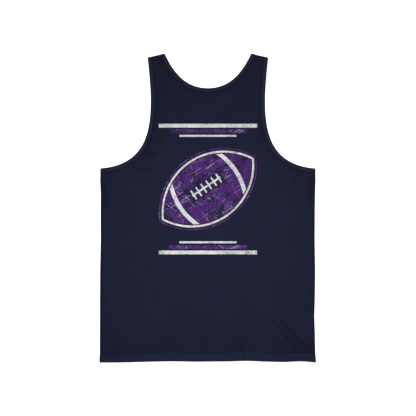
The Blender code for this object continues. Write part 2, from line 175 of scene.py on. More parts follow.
class Axis:
    """Line that a fold turns about: a point, a direction, and the way into the cloth."""

    def __init__(self, on_outline, along, into):
        self.along, self.into = unit(along), unit(into)
        self.point = np.asarray(on_outline, float) + REACH * self.into

    def depth(self, xy):
        return (np.asarray(xy) - self.point) @ self.into

    def slip(self, direction):
        """Travel along the axis for each unit of cloth that goes over it."""
        return (direction @ self.along) / abs(direction @ self.into)


slope = unit(np.subtract(TIP, NECK_POINT))
SHOULDER = Axis(NECK_POINT, slope, (slope[1], -slope[0]))
SIDE = Axis(UNDERARM, (0, 1), (-1, 0))


def clip(line, axis, end):
    """Cuts a line where it meets a fold axis, at its first or last end."""
    if end == "first":
        return clip(line[::-1], axis, "last")[::-1]
    d = axis.depth(line)
    k = np.nonzero(d > 0)[0][-1]
    f = d[k] / (d[k] - d[k + 1])
    return np.vstack([line[:k + 1], line[k] + f * (line[k + 1] - line[k])])


class Edge:
    """Free edge of a band in one layer.

    The vector across the band is square to the edge, and turns parallel to a
    fold's axis near it: square + near * (axis / (square . axis) - square).
    """

    def __init__(self, line, folds):
        self.line = line
        self.s = run(line)
        t = units(np.gradient(line, self.s, axis=0))
        if abs(line[0, 0]) < 1e-9:
            t[0] = (1, 0)
        square = np.c_[t[:, 1], -t[:, 0]]
        across = square.copy()
        for axis, full, none in folds:
            along = axis.along / (square @ axis.along)[:, None]
            across += (1 - smooth(full, none, axis.depth(line)))[:, None] * (along - square)
        self.across, self.length = across, self.s[-1]

    def at(self, s, w=0.0):
        """Plan points at distances s along the edge, w across the band."""
        x, y, ax, ay = (np.interp(s, self.s, a) for a in (*self.line.T, *self.across.T))
        return np.stack([x + w * ax, y + w * ay], axis=-1)

    def leaving(self, end, axis):
        """Its last or first end: distance along the edge, and slip over an axis there."""
        s = self.length if end == "last" else 0.0
        return s, axis.slip(unit(self.at(s) - self.at(abs(s - 0.5))))

    def where(self, axis, depth):
        """Distance along the edge at which it lies so deep from an axis."""
        d = axis.depth(self.line)
        order = np.argsort(d)
        return float(np.interp(depth, d[order], self.s[order]))


def over(line, axis, end):
    """Where an edge comes out of a fold in the front layer, and its heading there."""
    last, before = (line[-1], line[-2]) if end == "last" else (line[0], line[1])
    come = unit(last - before)
    out = last + axis.along * axis.slip(come) * pi * R_BAND
    return out, (come @ axis.along) * axis.along + abs(come @ axis.into) * axis.into


# cubic curves through the measured points; the inner points are their handles, given by
# length in mm, and by angle in radians where they are slanted
neck_point, tip, underarm = (np.array(p) for p in (NECK_POINT, TIP, UNDERARM))
back_neck = clip(bezier((0, BACK_NECK_LOW), (50.3, BACK_NECK_LOW),
                        neck_point - heading(51.0, 0.432), neck_point), SHOULDER, "last")
waist = np.array(BACK_WAIST)
back_arm = np.vstack([
    bezier(tip, tip - heading(20.6, 0.142), waist + (0, 20.6), waist),
    bezier(waist, waist - (0, 69.2),
           underarm + 110.0 * np.array([-math.cos(0.076), math.sin(0.076)]), underarm)[1:]])
back_arm = clip(clip(back_arm, SHOULDER, "first"), SIDE, "last")
start, way = over(back_neck, SHOULDER, "last")
front_neck = bezier((0, FRONT_NECK_LOW), (64.0, FRONT_NECK_LOW), start + 58.0 * way, start)
top, way_top = over(back_arm, SHOULDER, "first")
side, way_side = over(back_arm, SIDE, "last")
waist = np.array(FRONT_WAIST)
front_arm = np.vstack([
    bezier(top, top + 16.0 * way_top, waist + (0, 50.0), waist),
    bezier(waist, waist - (0, 96.0), side + 76.0 * way_side, side)[1:]])

NECK_FOLDS = [(SHOULDER, 11.0, 32.0)]
ARM_FOLDS = [(SHOULDER, 11.0, 32.0), (SIDE, 2.0, 24.0)]
NECK_BACK, NECK_FRONT = Edge(back_neck, NECK_FOLDS), Edge(front_neck, NECK_FOLDS)
ARM_BACK, ARM_FRONT = Edge(back_arm, ARM_FOLDS), Edge(front_arm, ARM_FOLDS)


# -------------------- heights
def distance(xy, line):
    """Distance of plan points from a polyline, in blocks to keep the arrays small."""
    a, d = line[:-1], np.diff(line, axis=0)
    far = []
    for block in np.array_split(xy, max(1, len(xy) // 4000)):
        w = np.clip(((block[:, None] - a) * d).sum(2) / (d * d).sum(1), 0, 1)
        far.append(np.linalg.norm(block[:, None] - (a + w[..., None] * d), axis=2).min(1))
    return np.concatenate(far)


def ridges(xy, table):
    """Sum over a table of folds: height * exp(-(across / half width)^2), steeper on one
    side, its line bowed by a half sine, and faded at both ends."""
    z = np.zeros(len(xy))
    for x0, y0, x1, y1, height, width, bow in table:
        a, d = np.array([x0, y0]), np.array([x1 - x0, y1 - y0])
        long = np.linalg.norm(d)
        s = (xy - a) @ d / long ** 2
        across = (xy - a) @ np.array([-d[1], d[0]]) / long
        across -= bow * np.sin(pi * np.clip(s, 0, 1))
        width = width * (1 + 0.25 * np.sin(5.0 * s + x0)) * np.where(across > 0, 0.8, 1.2)
        ends = smooth(-0.15, 0.35, s) * (1 - smooth(0.65, 1.15, s))
        z += height * bell(across, width) * ends
    return z


def ripple(xy, seed, waves, short, long, height):
    """Uneven ground: sum of sines of random directions, phases and lengths."""
    rng = np.random.default_rng(seed)
    angle, phase = rng.uniform(0, pi, waves), rng.uniform(0, 2 * pi, waves)
    length = rng.uniform(short, long, waves)
    k = np.c_[np.cos(angle), np.sin(angle)] * (2 * pi / length)[:, None]
    return height * np.sin(xy @ k.T + phase).sum(1) / math.sqrt(waves)


def puckers(xy, line, seed, reach, height):
    """Small pulls square to a sewn line: sines of the distance along it, fading with the
    distance from it."""
    rng = np.random.default_rng(seed)
    a = line[:-1]
    s_line, near, s = run(line), [], []
    for block in np.array_split(xy, max(1, len(xy) // 4000)):
        gap = np.linalg.norm(block[:, None] - a, axis=2)
        pick = gap.argmin(1)
        near.append(gap.min(1))
        s.append(s_line[pick])
    near, s = np.concatenate(near), np.concatenate(s)
    pull = sum(np.sin(2 * pi * s / rng.uniform(7, 15) + rng.uniform(0, 6)) for _ in range(4))
    return height * pull / 2 * bell(near, reach)


def half_width(x, y):
    """Half width of the outline at a height, on the side that x lies on."""
    height, right, left = SIDES.T
    return np.where(x >= 0, np.interp(y, height, right), np.interp(y, height, left))


def mirrored(xy):
    """Plan points with those of the left half carried over to the right."""
    return np.c_[np.abs(xy[:, 0]), xy[:, 1]]


def inwards(xy, arm_line, neck_line):
    """How far in plan points lie from the side folds, the armholes and the neck."""
    half = mirrored(xy)
    return (half_width(xy[:, 0], xy[:, 1]) - REACH - half[:, 0],
            distance(half, arm_line[::8]), distance(half, neck_line[::8]))


def free_of_edges(y, inset, arm, neck, arm_from, neck_from):
    """0 at the sides, armholes, neck and hem, 1 inside them: product of smooth steps."""
    return (smooth(4, 24, inset) * smooth(*arm_from, arm) * smooth(*neck_from, neck)
            * smooth(20, 34, y))


def grooves(y, rows):
    """Drop of the cloth to its stitch rows: GROOVE * exp(-(distance / 0.8)^2) for each."""
    return sum(GROOVE * bell(y - row, 0.8) for row in rows)


def back_top(xy):
    """Height of the back panel's outer face over plan points.

    Two laid layers and a gap, lifted at the edges by the double cloth there and along
    the hidden front neck band, with swell, folds, ripples and puckers between.  Folds
    run on nearer to the edges than the swell does, and short ones cross the hem."""
    half, (x, y) = mirrored(xy), xy.T
    inset, arm, neck = inwards(xy, back_arm, back_neck)
    inner = free_of_edges(y, inset, arm, neck, (23, 42), (11, 24))
    near = smooth(1.5, 9, inset) * smooth(10, 20, arm) * smooth(9.5, 18, neck)
    band_off = np.abs(distance(half, front_neck[::8]) - BAND / 2)
    low = inner * smooth(5.5, 15, band_off)
    swell = (SWELL * np.clip(1 - (half[:, 0] / 236) ** 2, 0, 1)
             * smooth(28, 120, y) * (1 - smooth(400, 600, y)))
    free = inner * (swell + ripple(xy, 4, 14, 26, 120, 0.22))
    free += (near * smooth(18.3, 24, y) * ridges(xy, BACK_FOLDS)
             + smooth(1.5, 14, inset) * ridges(xy, HEM_FOLDS))
    z = LAID + DOUBLE * (1 - low) + np.maximum(free, 0) + DOUBLE * (1 - smooth(18, 26, y))
    z += puckers(half, back_neck[::8], 1, 20, 0.10) + puckers(half, back_arm[::8], 2, 22, 0.09)
    z += 0.13 * np.sin(x / 2.1 + 2 * np.sin(x / 31)) * bell(y - 19.5, 4)
    return z


def painted_shade(xy, turn):
    """How much painted shade a place gets, 0 to 1: in creases, beside the bands, above the
    hem, along the shoulder seam, near the side folds, faintly over the straps, and where
    the cloth rolls away at those folds and at the hem's edge."""
    half, (x, y) = mirrored(xy), xy.T
    inset, arm, neck = inwards(xy, back_arm, back_neck)
    beside = np.minimum(arm, neck) - BAND
    # painted shade in creases, from how deep the creases of the fold tables are
    creases, hem_creases = (1 - np.exp(0.9 * np.minimum(ridges(xy, table[table[:, 4] < 0]), 0))
                            for table in (BACK_FOLDS, HEM_FOLDS))
    # painted shade, each term at the place its comment names
    total = (0.6 * bell(beside - 1.7, 1.9) + 0.1 * bell(beside - 4, 5.0)  # bands
             + 0.5 * bell(SHOULDER.depth(half) - WRAP, 1.2)               # shoulder seam
             + 0.98 * creases * smooth(18, 20, y) + 0.85 * hem_creases
             + bell(inset - 3, 8) * np.where(x < 0, 0.42, 0.3)            # side folds
             + 0.5 * bell(y - 19.6, 1.6)                                  # above the hem
             + 0.25 * smooth(18.4, 19.5, y) * (1 - smooth(20, 70, y))
             + 0.7 * (1 - smooth(0.4, 2.0, y))                            # the hem's edge
             + np.where(x < 0, 0.17, 0.10) * smooth(525, 590, y) * smooth(45, 110, half[:, 0]))
    # painted shade where the cloth rolls away at the side folds
    rolled = np.where(inset < 2, 0.8 * smooth(0, 0.5, np.sin(turn)), 0.0)
    return np.where(turn < 0.1, np.clip(total, 0, 1), rolled)


def front_rise(xy):
    """Height of the front panel's outer face above the surface it lies on."""
    inner = free_of_edges(xy[:, 1], *inwards(xy, front_arm, front_neck), (10, 24), (10, 24))
    free = ridges(xy, FRONT_FOLDS) + ripple(xy, 9, 12, 30, 120, 0.10)
    return inner * np.clip(free, 0, 1.2)


def wall(y):
    """Thickness at a height: double in the hem, single above."""
    return np.where(y < HEM_DEPTH, HEM_WALL, CLOTH)


def rounded(y):
    """Share of the thickness near the hem's folded edge, which is a half round."""
    return np.sqrt(np.clip(1 - (1 - np.minimum(y / 1.1, 1)) ** 2, 0.004, 1))


def lift(plan, out, turn, z_fold, radius):
    """Points of the cloth: see the head of this file."""
    return np.concatenate([plan + out * (radius * np.sin(turn))[..., None],
                           (z_fold + radius * np.cos(turn))[..., None]], axis=-1)


# -------------------- meshes
def placed(name, data):
    """New object in the scene, at the origin."""
    obj = bpy.data.objects.new(name, data)
    bpy.context.scene.collection.objects.link(obj)
    return obj


def mesh(name, points, faces, material, uv=None, marks=None):
    """Object from points in millimetres and an array of equal faces, in the frame's metres.
    marks are named values for each point, which its material reads."""
    pts = (points.reshape(-1, 3) - (*MIDDLE, 0.0)) * 0.001
    data = bpy.data.meshes.new(name)
    data.vertices.add(len(pts))
    data.vertices.foreach_set("co", pts.ravel())
    n, k = faces.shape
    data.loops.add(n * k)
    data.loops.foreach_set("vertex_index", faces.ravel().astype(np.int32))
    data.polygons.add(n)
    data.polygons.foreach_set("loop_start", np.arange(0, n * k, k, dtype=np.int32))
    data.update(calc_edges=True)
    if uv is not None:
        layer = data.uv_layers.new(name="cloth")
        layer.data.foreach_set("uv", uv.reshape(-1, 2)[faces.ravel()].ravel())
    for mark, values in (marks or {}).items():
        store = data.attributes.new(mark, "FLOAT", "POINT").data
        store.foreach_set("value", values.astype(np.float32))
    data.validate()
    data.polygons.foreach_set("use_smooth", np.ones(len(data.polygons), bool))
    data.set_sharp_from_angle(angle=math.radians(48))
    data.materials.append(material)
    return placed(name, data)


def closed(outer, inner, quads):
    """Two like sheets and the wall round their borders: the wall stands on each edge
    that only one quad uses."""
    n = len(outer)
    a, b = quads.ravel(), np.roll(quads, -1, axis=1).ravel()
    border = ~np.isin(a.astype(np.int64) * n + b, b.astype(np.int64) * n + a)
    a, b = a[border], b[border]
    return (np.vstack([outer, inner]),
            np.vstack([quads, quads[:, ::-1] + n, np.c_[a, a + n, b + n, b]]))


def sheet(inner, outer, turn, out, columns, middle_rows, roll_rows, roll, from_above):
    """Points and quads of a panel as one sheet: straight rows from the inner to the outer
    ends, the right half and its mirror, joined along the middle line, and carried round
    the side folds in the first roll_rows."""
    rows, flat, wide = len(inner), len(columns), len(columns) + len(roll)
    plan, outs = np.zeros((2, rows, wide, 2)), np.zeros((2, rows, wide, 2))
    turns = np.repeat(turn[:, None], wide, 1)[None].repeat(2, 0)
    low = np.arange(rows) < roll_rows
    for k, sign in enumerate((1.0, -1.0)):
        end = outer.copy()
        end[low, 0] = half_width(np.full(low.sum(), sign), outer[low, 1]) - REACH
        plan[k, :, :flat] = inner[:, None] + columns[None, :, None] * (end - inner)[:, None]
        plan[k, :, flat:] = end[:, None]
        outs[k, :, :flat] = out[:, None]
        outs[k, :, flat:] = (1.0, 0.0)
        turns[k, :, flat:] = np.where(turn[:, None] == 0, roll[None], pi - roll[None])
        plan[k, ..., 0] *= sign
        outs[k, ..., 0] *= sign
    index = np.arange(2 * rows * wide).reshape(2, rows, wide)
    index[1, :middle_rows, 0] = index[0, :middle_rows, 0]
    quads = np.stack([index[:, :-1, :-1], index[:, :-1, 1:],
                      index[:, 1:, 1:], index[:, 1:, :-1]], -1)
    quads[1] = quads[1, ..., ::-1]
    if not from_above:
        quads = quads[..., ::-1]
    there = ((np.arange(wide - 1) < flat - 1)[None]
             | (np.arange(rows - 1) < roll_rows - 1)[:, None])
    used, quads = np.unique(quads[:, there], return_inverse=True)

    def pick(a, *last):
        return a.reshape(-1, *last)[used]

    return pick(plan, 2), pick(turns), pick(outs, 2), quads.reshape(-1, 4)


def hem_shift(xy):
    """The hem's own line wavers, and its sewn edge more: points near it rise with it."""
    x, y = xy.T
    rise = np.interp(x, *HEM_RISE.T)
    sewn_edge = smooth(0, HEM_DEPTH, y)
    return np.c_[x, y + (rise + sewn_edge * (rise - 1.2)) * (1 - smooth(20, 120, y))]


def seam_dip(plan, turn):
    """Cloth sinks to the shoulder seam on the back layer and to its two stitch rows, and
    swells a little above it, where the turned edges lie inside."""
    deep = SHOULDER.depth(mirrored(plan))
    dip = 0.35 * bell(deep - WRAP, 0.9) - 0.22 * bell(deep - WRAP + 3.2, 2.2)
    return np.where(turn < 0.1, dip + grooves(deep, SEAM_STITCHES), 0.0)


# rows of the mesh in the hem and just above it, close together beside its stitches
HEM_ROWS = np.concatenate([
    [0.0, 0.05, 0.16, 0.35, 0.65, 1.1, 2.2, 3.8, 5.4, 7.0, 8.6],
    *[row + np.array([-1.3, -0.7, 0.0, 0.7, 1.15]) for row in HEM_STITCHES], [13.4, 14.5],
    [18.3, 19.2, 20.2, 21.4, 22.8, 24.4, 26.2, 28.4, 31.0]])
HEM_ROWS.sort()
# lengths that the spacing divides: underarm to neck, hem to underarm, half the width
CHEST, BODY, HALF = 188, 410, 250


def chest_rows(neck, neck_s, arm, arm_s, split):
    """Inner and outer ends of rows from the underarm up: on the middle line to the neck's
    lowest point, then along the neck; outside along the armhole."""
    outer, neck_pts = arm.at(arm_s, EDGE_AT), neck.at(neck_s, EDGE_AT)
    rise = np.linspace(0, 1, split + 1)[:-1, None]
    middle = np.array([0, outer[0, 1]]) + rise * (neck_pts[0] - (0, outer[0, 1]))
    return np.vstack([middle, neck_pts]), outer


def over_shoulder():
    """Inner and outer ends of the front panel's last rows, over the shoulder fold and down
    the back layer to the seam, and their turns."""
    angles = np.linspace(pi, 0, 11)[1:]
    downs = np.linspace(0.8, WRAP, 14)
    ends = []
    for edge, end in ((NECK_BACK, "last"), (ARM_BACK, "first")):
        s, slip = edge.leaving(end, SHOULDER)
        ends.append(np.vstack([
            edge.at(s, EDGE_AT) + np.outer(angles * R_BAND * slip, SHOULDER.along),
            *[edge.at(edge.where(SHOULDER, d), EDGE_AT) for d in downs]]))
    return *ends, angles, 0 * downs


def panel(layer, spacing):
    """Outer and inner faces of one panel at about that spacing, as a closed mesh."""
    back = layer == "back"
    neck, arm = (NECK_BACK, ARM_BACK) if back else (NECK_FRONT, ARM_FRONT)
    arm_top, neck_top = 0.0, neck.length
    if back:
        arm_top, neck_top = (edge.where(SHOULDER, WRAP + 0.12) for edge in (arm, neck))
    split, strap = int(CHEST / spacing), int(neck_top / spacing)
    arm_low = arm.length * (0.50 if back else 0.52)
    arm_s = np.concatenate([np.linspace(arm.length, arm_low, split + 1)[:-1],
                            np.linspace(arm_low, arm_top, strap + 1)])
    neck_s = np.linspace(0, neck_top, strap + 1)
    inner_up, outer_up = chest_rows(neck, neck_s, arm, arm_s, split)
    body = np.linspace(31, outer_up[0, 1], int(BODY / spacing))[1:-1]
    body = np.concatenate([HEM_ROWS, body])
    low = np.c_[0 * body, body]         # sheet() puts their outer ends on the side folds
    inner, outer = np.vstack([low, inner_up]), np.vstack([low, outer_up])
    turn = np.full(len(inner), 0.0 if back else pi)
    out = np.zeros((len(inner), 2))
    middle_rows, roll_rows = len(body) + split + 1, len(body) + 1
    if not back:
        inner_over, outer_over, turning, down = over_shoulder()
        inner, outer = np.vstack([inner, inner_over]), np.vstack([outer, outer_over])
        turn = np.concatenate([turn, turning, down])
        out = np.vstack([out, np.tile(-SHOULDER.into, (len(turning), 1)),
                         np.zeros((len(down), 2))])
    half = np.linspace(0, 1, int(HALF / spacing) + 1)
    columns = half - 0.03 * np.sin(2 * pi * half) / pi
    roll = np.radians([12, 26, 40, 54, 66, 78, 89])
    plan, turn, out, quads = sheet(
        inner, outer, turn, out, columns, middle_rows, roll_rows, roll, back)
    y, full = plan[:, 1], wall(plan[:, 1])
    t = full * rounded(y)
    if back:
        z_fold = back_top(plan) - full / 2 - seam_dip(plan, turn) - R_PANEL
    else:
        flat = turn > 3.1
        rise = np.where(flat, front_rise(plan), 0.0)
        z_fold = full / 2 + R_PANEL + rise - np.where(flat, 0.0, seam_dip(plan, turn))
    # inside a band the edge lies in the middle of its two leaves
    off = np.minimum(*inwards(plan, arm.line, neck.line)[1:])
    z_fold = z_fold + 0.30 * (1 - smooth(BAND - 1.5, BAND + 3, off))
    # marks for the material: the doubled hem, and how much painted shade each point gets
    marks = {"doubled": 1 - smooth(HEM_DEPTH - 0.3, HEM_DEPTH + 0.5, y),
             "painted_shade": painted_shade(plan, turn)}
    drawn, plan = grooves(y, HEM_STITCHES), hem_shift(plan)
    faces = [lift(plan, out, turn, z_fold, R_PANEL + h) for h in (t / 2 - drawn, -t / 2)]
    points, quads = closed(*faces, quads)
    marks = {name: np.tile(mark, 2) for name, mark in marks.items()}
    return points, quads, marks | {"outside": np.repeat([1.0, 0.0], len(points) // 2)}


# -------------------- bands
def band_rows(kind, step):
    """Stations round a band: plan point of its free edge, vector across, way out and turn,
    from the back layer over the fold or folds into the front layer and round again."""
    def lying(edge, s, turn):
        n = len(s)
        return edge.at(s), edge.at(s, 1.0) - edge.at(s), np.zeros((n, 2)), np.full(n, turn)

    def folding(edge, end, axis, n=15):
        s, slip = edge.leaving(end, axis)
        turn = np.linspace(0, pi, n)
        plan = edge.at(s) + np.outer(turn * R_BAND * slip, axis.along)
        across = edge.at(s, 1.0) - edge.at(s)
        return plan, np.tile(across, (n, 1)), np.tile(-axis.into, (n, 1)), turn

    def along(edge):
        return np.linspace(0, edge.length, int(edge.length / step) + 1)

    if kind == "neck":
        parts = [lying(NECK_BACK, along(NECK_BACK)[:-1], 0.0),
                 folding(NECK_BACK, "last", SHOULDER),
                 lying(NECK_FRONT, along(NECK_FRONT)[::-1][1:], pi)]
        right = [np.concatenate(a) for a in zip(*parts)]
        left = [(a * (-1, 1) if a.ndim == 2 else a)[::-1][1:-1] for a in right]
        return tuple(np.concatenate(pair) for pair in zip(right, left))
    parts = [lying(ARM_BACK, along(ARM_BACK)[::-1][1:-1], 0.0),
             folding(ARM_BACK, "first", SHOULDER),
             lying(ARM_FRONT, along(ARM_FRONT)[1:-1], pi),
             tuple(a[::-1] for a in folding(ARM_BACK, "last", SIDE))]
    return tuple(np.concatenate(a) for a in zip(*parts))


def strip_section():
    """Section of a strip folded over a cut edge: out along the upper leaf, round the free
    edge, back along the lower leaf, then the same inside, LEAF lower.  Returns the
    distance across the band and the height in it."""
    half = BAND_WALL / 2
    bend = np.linspace(pi / 2, 3 * pi / 2, 9)
    flat = np.array([BAND, 8.75, 8.2, 7.6, 7.0, 6.4, 5.6, 4.4, 3.5, 2.9, 2.3, 1.5])
    face = half - grooves(flat, BAND_STITCHES) - 0.18 * smooth(BAND - 0.3, BAND, flat)
    inner = half - LEAF
    flat_in = np.array([BAND, BAND - 0.25, 7.6, 4.8, 2.0])
    face_in = inner - 0.06 * (flat_in > BAND - 0.1)

    def around(flat, face, radius, bend):
        upper = np.c_[flat, face]
        turned = np.c_[half + radius * np.cos(bend), radius * np.sin(bend)]
        return np.vstack([upper, turned, upper[::-1] * (1, -1)])

    return np.vstack([around(flat, face, half, bend),
                      around(flat_in, face_in, inner, bend[::2])[::-1]])


def band(kind, step):
    """Closed band: the section carried round its stations.  Also its strip coordinates
    for the knit: metres along, and across from the free edge."""
    plan, across, out, turn = band_rows(kind, step)
    section = strip_section()
    n, m = len(plan), len(section)
    w, h = section.T
    s = run(lift(plan, out, turn, FOLD_Z, R_BAND))
    wave = 0.10 * np.sin(2 * pi * s / 23 + 1.5 * np.sin(s / 41)) + 0.06 * np.sin(s / 1.9)
    wave *= turn < 0.01
    pts = lift(plan[:, None] + w[None, :, None] * across[:, None],
               out[:, None], turn[:, None], (FOLD_Z + wave)[:, None], R_BAND + h)
    i, j = np.meshgrid(np.arange(n), np.arange(m), indexing="ij")
    i_next, j_next = (i + 1) % n, (j + 1) % m
    quads = np.stack([i * m + j, i * m + j_next, i_next * m + j_next, i_next * m + j], -1)
    girth = run(section)
    girth -= girth[w.argmin()]
    uv = np.stack(np.broadcast_arrays(s[:, None], girth[None]), -1) * 0.001
    quads = quads.reshape(-1, 4)
    return pts, (quads if kind == "neck" else quads[:, ::-1]), uv, (plan, across, out, turn)


# -------------------- sewing
def stitches(path, up):
    """A row of stitches along a path: at every pitch a spindle of five sides, its two ends
    sunk in the cloth, its middle standing proud of it.  Of its twelve points 0 is the
    head, 1 to 5 and 6 to 10 are the rings and 11 is the tail."""
    s = run(path)
    n = max(1, int(s[-1] / PITCH))
    at = (np.arange(n) + 0.5) * s[-1] / n

    def place(a, q):
        return np.stack([np.interp(q, s, a[:, k]) for k in range(3)], -1)

    head, tail = place(path, at - STITCH / 2), place(path, at + STITCH / 2)
    lift_up = units(place(up, at))
    side_way = units(np.cross(tail - head, lift_up))
    ring = np.radians(np.arange(5) * 72.0 + 18)
    pts = [head - 0.25 * THREAD * lift_up]
    for f in (0.28, 0.72):
        centre = head + f * (tail - head)
        pts += [centre + THREAD * (0.42 * math.cos(a) * side_way
                                   + (0.28 + 0.42 * math.sin(a)) * lift_up) for a in ring]
    pts.append(tail - 0.25 * THREAD * lift_up)
    pts = np.stack(pts, 1)
    k = np.arange(5)
    first, second = 1 + k, 6 + k
    nxt = (k + 1) % 5
    tris = np.vstack([np.c_[0 * k, 1 + nxt, first], np.c_[first, 1 + nxt, second],
                      np.c_[1 + nxt, 6 + nxt, second], np.c_[second, 6 + nxt, 0 * k + 11]])
    return pts.reshape(-1, 3), (tris[None] + 12 * np.arange(n)[:, None, None]).reshape(-1, 3)


def sewn(name, rows, material):
    """One mesh of several stitch rows."""
    pts, faces, base = [], [], 0
    for row in rows:
        p, f = stitches(*row)
        pts.append(p)
        faces.append(f + base)
        base += len(p)
    obj = mesh(name, np.vstack(pts), np.vstack(faces), material)
    obj.data.shade_smooth()
    return obj


def on_band(rows, w, flip=1.0):
    """Path of a stitch row on a band's outer face, w from its free edge."""
    plan, across, out, turn = (np.concatenate([a, a[:1]]) for a in rows)
    path = lift(plan + w * across, out, turn, FOLD_Z, REACH - GROOVE + PROUD)
    up = np.c_[out * np.sin(turn)[:, None], np.cos(turn)]
    return path * (flip, 1, 1), up * (flip, 1, 1)


def on_hem(layer, y):
    """Path of a stitch row on a hem's outer face, from side fold to side fold."""
    back, n, k = layer == "back", 261, 5        # points on the flat and round each fold
    x = np.linspace(-1, 1, n)
    flat = np.c_[x * (half_width(x, y) - REACH), np.full(n, y)]
    z_fold = back_top(flat) - HEM_WALL / 2 - R_PANEL if back else np.full(n, HEM_WALL / 2 + R_PANEL)
    roll = np.radians(np.linspace(10, 80, k))
    roll = roll if back else pi - roll
    turn = np.concatenate([roll[::-1], np.full(n, 0.0 if back else pi), roll])
    plan, z_fold = (np.concatenate([a[:1].repeat(k, 0), a, a[-1:].repeat(k, 0)])
                    for a in (flat, z_fold))
    out = np.repeat([(-1.0, 0.0), (0.0, 0.0), (1.0, 0.0)], (k, n, k), 0)
    path = lift(hem_shift(plan), out, turn, z_fold, R_PANEL + HEM_WALL / 2 - GROOVE + PROUD)
    return path, np.c_[out * np.sin(turn)[:, None], np.cos(turn)]


def on_shoulder(depth, sign, n=12):
    """Path of a stitch row along the shoulder seam on the back layer, between the bands."""
    a, b = (edge.at(edge.where(SHOULDER, depth), BAND + 0.6) for edge in (NECK_BACK, ARM_BACK))
    plan = a + np.linspace(0, 1, n)[:, None] * (b - a)
    z = LAID + DOUBLE + PROUD - seam_dip(plan, np.zeros(n))
    return np.c_[plan * (sign, 1), z], np.tile((0.0, 0.0, 1.0), (n, 1))


# -------------------- materials
def srgb(r, g, b):
    """Linear colour of 8-bit display values."""
    c = np.array([r, g, b]) / 255.0
    return (*np.where(c <= 0.04045, c / 12.92, ((c + 0.055) / 1.055) ** 2.4).tolist(), 1.0)


NAVY = srgb(24, 27.2, 45.6)
NAVY_BAND = srgb(30.4, 33.8, 54.6)
NAVY_THREAD = srgb(33, 36.5, 58)
PURPLE = srgb(71, 32, 103)
LILAC = srgb(190, 176, 206)
CHALK = srgb(210, 209, 207)


class Nodes:
    """Node tree of a material or the world: its shader and short ways to add to it."""

    def __init__(self, owner, shader="Principled BSDF"):
        owner.use_nodes = True
        self.owner, self.tree = owner, owner.node_tree
        self.shader = self.tree.nodes[shader]

    def add(self, kind, **values):
        node = self.tree.nodes.new("ShaderNode" + kind)
        for key, value in values.items():
            if hasattr(node, key):
                setattr(node, key, value)
            else:
                self.feed(node.inputs[key.replace("_", " ")], value)
        return node

    def feed(self, socket, value):
        if isinstance(value, bpy.types.NodeSocket):
            self.tree.links.new(value, socket)
        else:
            socket.default_value = value

    def fill(self, node, *values):
        for socket, value in zip(node.inputs, values):
            self.feed(socket, value)
        return node.outputs[0]

    def math(self, operation, *values):
        return self.fill(self.add("Math", operation=operation), *values)

    def times(self, a, *rest):
        for value in rest:
            a = self.math("MULTIPLY", a, value)
        return a

    def most(self, a, *rest):
        for value in rest:
            a = self.math("MAXIMUM", a, value)
        return a

    def less(self, a, b):
        return self.math("SUBTRACT", a, b)

    def times_plus(self, a, b, c):
        return self.math("MULTIPLY_ADD", a, b, c)

    def ramp(self, value, lo, hi, out_lo=0.0, out_hi=1.0):
        """Straight step from out_lo below lo to out_hi above hi."""
        return self.fill(self.add("MapRange"), value, lo, hi, out_lo, out_hi)

    def mix(self, factor, a, b):
        node = self.add("Mix", data_type="RGBA")
        for key, value in ((0, factor), (6, a), (7, b)):
            self.feed(node.inputs[key], value)
        return node.outputs[2]

    def noise(self, vector, scale, detail=2.0, rough=0.5):
        return self.add("TexNoise", Vector=vector, Scale=scale, Detail=detail,
                        Roughness=rough).outputs[0]

    def brushed(self, vector, turn, along, across, away):
        """Noise drawn out to strokes that lie at an angle: the coordinates less a shift
        are turned back by it, then divided by a stroke's length and width in metres."""
        node = self.add("Mapping", vector_type="TEXTURE", Vector=vector, Rotation=(0, 0, turn),
                        Location=(away, 2 * away, 0), Scale=(along, across, 1.0))
        return self.noise(node.outputs[0], 1.0, 0.0)

    def toned(self, colour, value):
        """A colour made brighter or darker by a factor."""
        return self.add("HueSaturation", Color=colour, Value=value).outputs[0]

    def mark(self, name):
        """A value that the mesh holds for each of its points."""
        return self.add("Attribute", attribute_name=name).outputs["Fac"]

    def set(self, **values):
        for key, value in values.items():
            self.feed(self.shader.inputs[key.replace("_", " ")], value)


def knit_height(m, u, v):
    """Jersey face: columns of V stitches.  Column: |sin(pi u / WALE)|; legs: a sine of
    v / COURSE that leans by the distance from the column's middle."""
    column = m.math("ABSOLUTE", m.math("SINE", m.times(u, pi / WALE)))
    place = m.math("PINGPONG", u, WALE / 2)
    lean = m.times_plus(place, 1.5 / WALE, m.times(v, 1 / COURSE))
    legs = m.math("SINE", m.times(lean, 2 * pi))
    return m.times_plus(legs, 0.35, column)


def finish_cloth(m, colour, height, place, rough=0.88):
    """Common to all jersey: a mottled colour, painted shade in the knit's hollows and painted
    light on its tops, fuzz that catches light, knit and fuzz bump.
    """
    cloud = m.noise(place, 9.0, 3.0)
    fleck = m.noise(place, 900.0, 2.0, 0.6)
    tone = m.math("ADD", m.ramp(cloud, 0.3, 0.7, -0.05, 0.05), m.ramp(fleck, 0.3, 0.7, -0.14, 0.14))
    # painted shade in the knit's hollows and painted light on its tops
    tone = m.math("ADD", tone, m.ramp(height, 0.0, 1.3, -0.16, 0.10))
    colour = m.toned(colour, m.math("ADD", tone, 1.0))
    fuzz = m.noise(place, 2600.0, 3.0, 0.7)
    bump = m.add("Bump", Strength=0.5, Distance=0.00016,
                 Height=m.times_plus(fuzz, 0.5, height))
    m.set(Base_Color=colour, Normal=bump.outputs[0],
          Roughness=m.ramp(fleck, 0.3, 0.7, rough - 0.06, rough + 0.06))
    m.set(Specular_IOR_Level=0.06, Sheen_Weight=0.03, Sheen_Roughness=0.4,
          Sheen_Tint=(0.5, 0.55, 0.8, 1.0))


def in_mm(m, place):
    """X and Y of a place given in metres, in millimetres."""
    xyz = m.add("SeparateXYZ", Vector=place)
    return [m.times(xyz.outputs[k], 1000.0) for k in (0, 1)]


